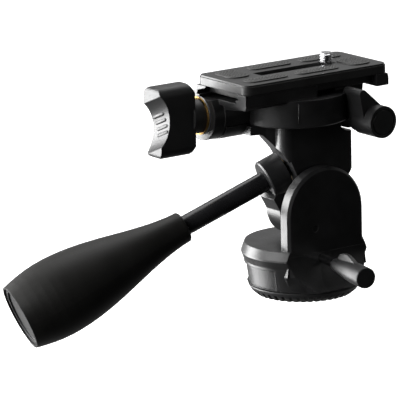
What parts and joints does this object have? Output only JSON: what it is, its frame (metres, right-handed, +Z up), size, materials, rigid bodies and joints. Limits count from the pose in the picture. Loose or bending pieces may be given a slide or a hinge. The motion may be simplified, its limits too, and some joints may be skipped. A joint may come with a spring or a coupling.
{
  "type": "three way pan tilt head",
  "caption": "Compact tripod head: panning drum with one cheek, tilting neck clamped by a long grip handle, fold-over platform with wing knob and sliding quick release plate.",
  "frame": {"origin": "middle of the base ring's underside, on the pan axis, at the mouth of the tripod socket", "axes": "+Z up along the pan axis; +Y along the release plate, away from the wing knob; +X outwards through the cheek, along the tilt axis"},
  "size_m": [0.1156, 0.175, 0.1212],
  "materials": {
    "casting": "near-black powder coated casting, fine texture",
    "black_plastic": "matte black moulded plastic",
    "knob_plastic": "satin black moulded plastic",
    "grip_plastic": "matte soft-touch black",
    "rod_black": "black coated steel tube",
    "plate_plastic": "matte black moulded plate",
    "rubber": "dark grey rubber with fine cross-hatching",
    "steel": "turned steel",
    "chrome": "bright chrome plate",
    "brass": "turned brass",
    "bronze": "gold coloured bronze washer",
    "nylon": "natural nylon"
  },
  "bodies": {
    "base": {"base_ring": "black_plastic", "thread_bush": "steel", "pan_spindle": "steel", "base_screws": "steel", "pan_washer": "nylon"},
    "pan_body": {"pan_body": "casting", "pan_shoe": "brass", "tilt_shaft": "steel", "tilt_friction_washer": "nylon", "tilt_end_washer": "steel", "tilt_screw": "steel"},
    "pan_lock": {"pan_lock_rod": "chrome", "pan_lock_knob": "knob_plastic"},
    "neck": {"neck": "casting", "clamp_insert": "brass", "hinge_shaft": "steel", "hinge_washer": "nylon", "thrust_ring": "steel", "bronze_washer": "bronze"},
    "handle": {"handle_rod": "rod_black", "handle_grip": "grip_plastic", "grip_end_cap": "black_plastic"},
    "wing_knob": {"wing_knob": "knob_plastic", "knob_insert": "brass"},
    "platform": {"platform": "casting", "stop_block": "black_plastic", "stop_screws": "steel"},
    "plate_lock": {"lock_shaft": "steel", "lock_knob": "knob_plastic", "lock_cap": "knob_plastic"},
    "plunger": {"lock_plunger": "steel"},
    "release_plate": {"release_plate": "plate_plastic", "plate_pads": "rubber"},
    "screw_slider": {"screw_clip": "steel"},
    "camera_screw": {"camera_screw": "chrome"}
  },
  "joints": [
    {"name": "pan", "type": "hinge", "parent": "base", "child": "pan_body", "pos_m": [0, 0, 0.0192], "axis": [0, 0, 1], "continuous": true},
    {"name": "pan_lock_twist", "type": "hinge", "parent": "pan_body", "child": "pan_lock", "pos_m": [0, 0, 0.0192], "axis": [0.9848, -0.1736, 0], "range_deg": [0, 180]},
    {"name": "tilt", "type": "hinge", "parent": "pan_body", "child": "neck", "pos_m": [0, 0, 0.0394], "axis": [1, 0, 0], "range_deg": [-65, 30]},
    {"name": "handle_twist", "type": "hinge", "parent": "neck", "child": "handle", "pos_m": [-0.00475, -0.00857, 0.0561], "axis": [-0.253, -0.8822, -0.3971], "range_deg": [0, 180]},
    {"name": "side_tilt", "type": "hinge", "parent": "neck", "child": "platform", "pos_m": [-0.014, -0.0394, 0.0866], "axis": [0, -1, 0], "range_deg": [0, 90]},
    {"name": "wing_knob_twist", "type": "hinge", "parent": "neck", "child": "wing_knob", "pos_m": [-0.014, -0.06, 0.0866], "axis": [0, -1, 0], "range_deg": [0, 180]},
    {"name": "plate_lock_turn", "type": "hinge", "parent": "platform", "child": "plate_lock", "pos_m": [0, 0.0207, 0.0813], "axis": [-1, 0, 0], "range_deg": [0, 90]},
    {"name": "plunger_lift", "type": "slide", "parent": "platform", "child": "plunger", "axis": [0, 0, -1], "range_m": [0, 0.0008]},
    {"name": "plate_slide", "type": "slide", "parent": "platform", "child": "release_plate", "axis": [0, -1, 0], "range_m": [0, 0.0105]},
    {"name": "screw_slide", "type": "slide", "parent": "release_plate", "child": "screw_slider", "axis": [0, -1, 0], "range_m": [0, 0.0356]},
    {"name": "camera_screw_turn", "type": "hinge", "parent": "screw_slider", "child": "camera_screw", "pos_m": [-0.003, 0.0168, 0.099], "axis": [0, 0, 1], "continuous": true}
  ],
  "couplings": [
    {"joint": "plunger_lift", "follows": "plate_lock_turn", "m_per_rad": 0.0005093}
  ]
}
